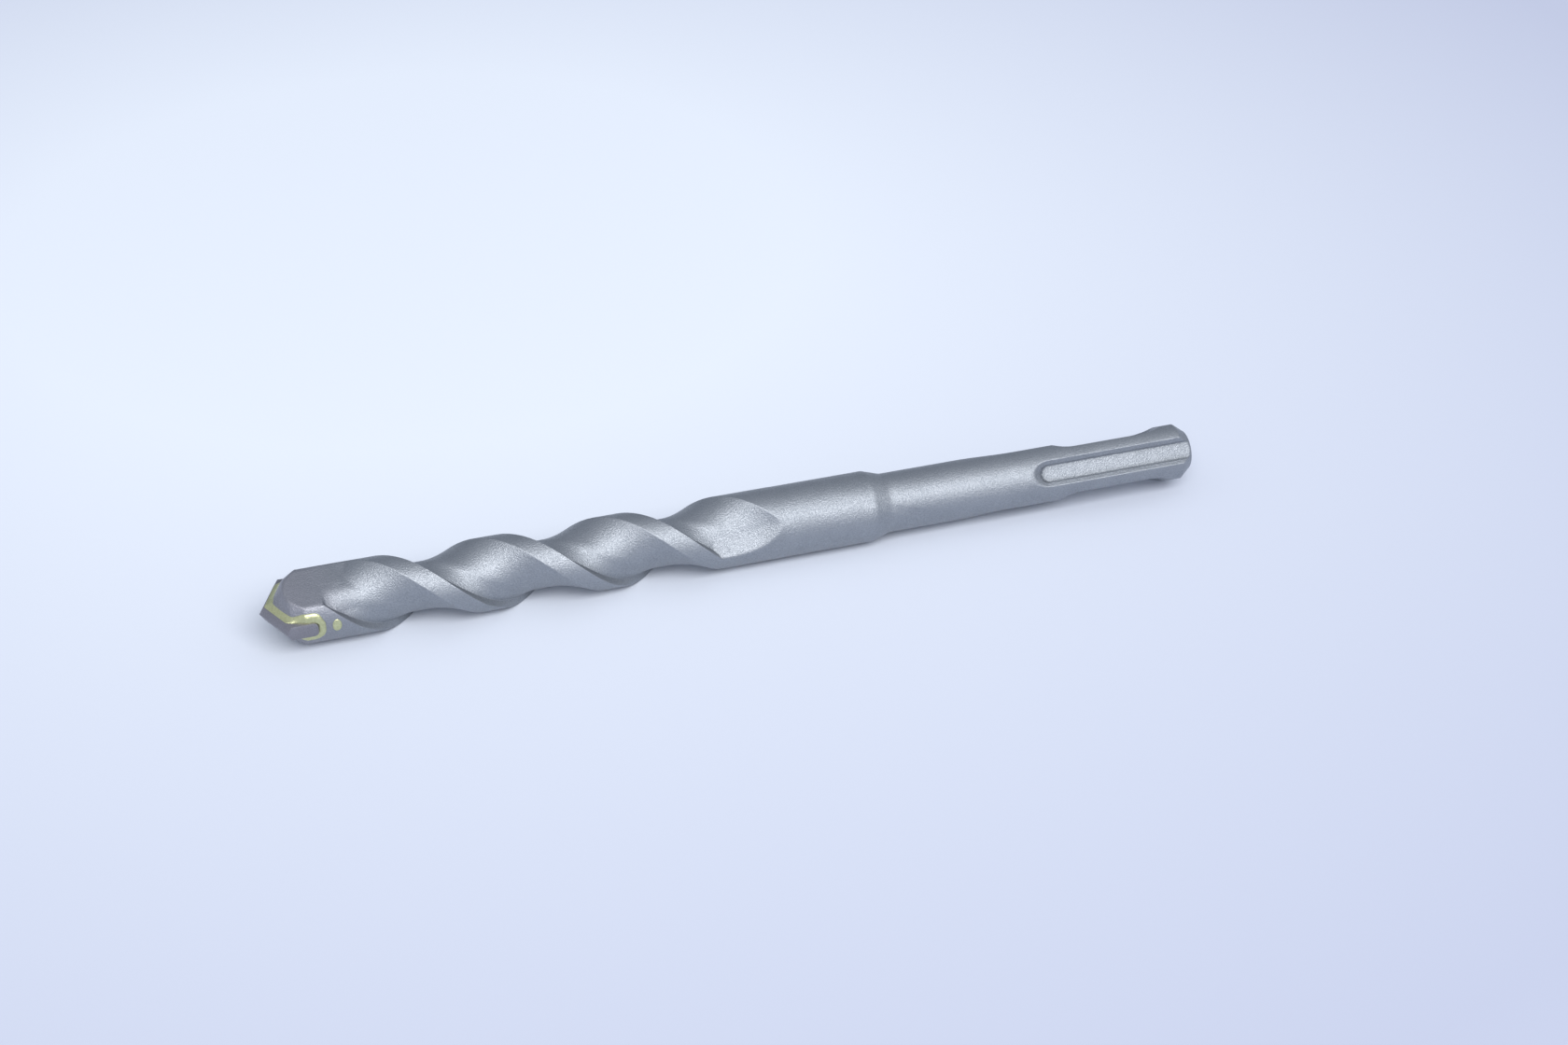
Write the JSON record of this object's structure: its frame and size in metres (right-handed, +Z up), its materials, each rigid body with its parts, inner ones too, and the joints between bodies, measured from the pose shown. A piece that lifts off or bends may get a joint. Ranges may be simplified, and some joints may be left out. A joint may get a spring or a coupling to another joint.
{
  "type": "masonry drill bit",
  "caption": "Carbide-tipped masonry drill bit with helical flutes, a plain collar and a grooved hammer-drill shank, lying on its side.",
  "frame": {"origin": "on the surface the bit lies on, below the middle of its length", "axes": "+X along the bit from the cutting tip to the struck end of the shank, +Z up"},
  "size_m": [0.16, 0.0126, 0.012],
  "materials": {
    "blasted_steel": "sand-blasted, matte with a fine grain",
    "hard_metal": "ground and blasted, matte grey",
    "solder": "smooth, pale yellow"
  },
  "bodies": {
    "root": {"drill_body": "blasted_steel", "carbide_tip": "hard_metal", "braze_seam": "solder", "braze_spots": "solder"}
  },
  "joints": []
}
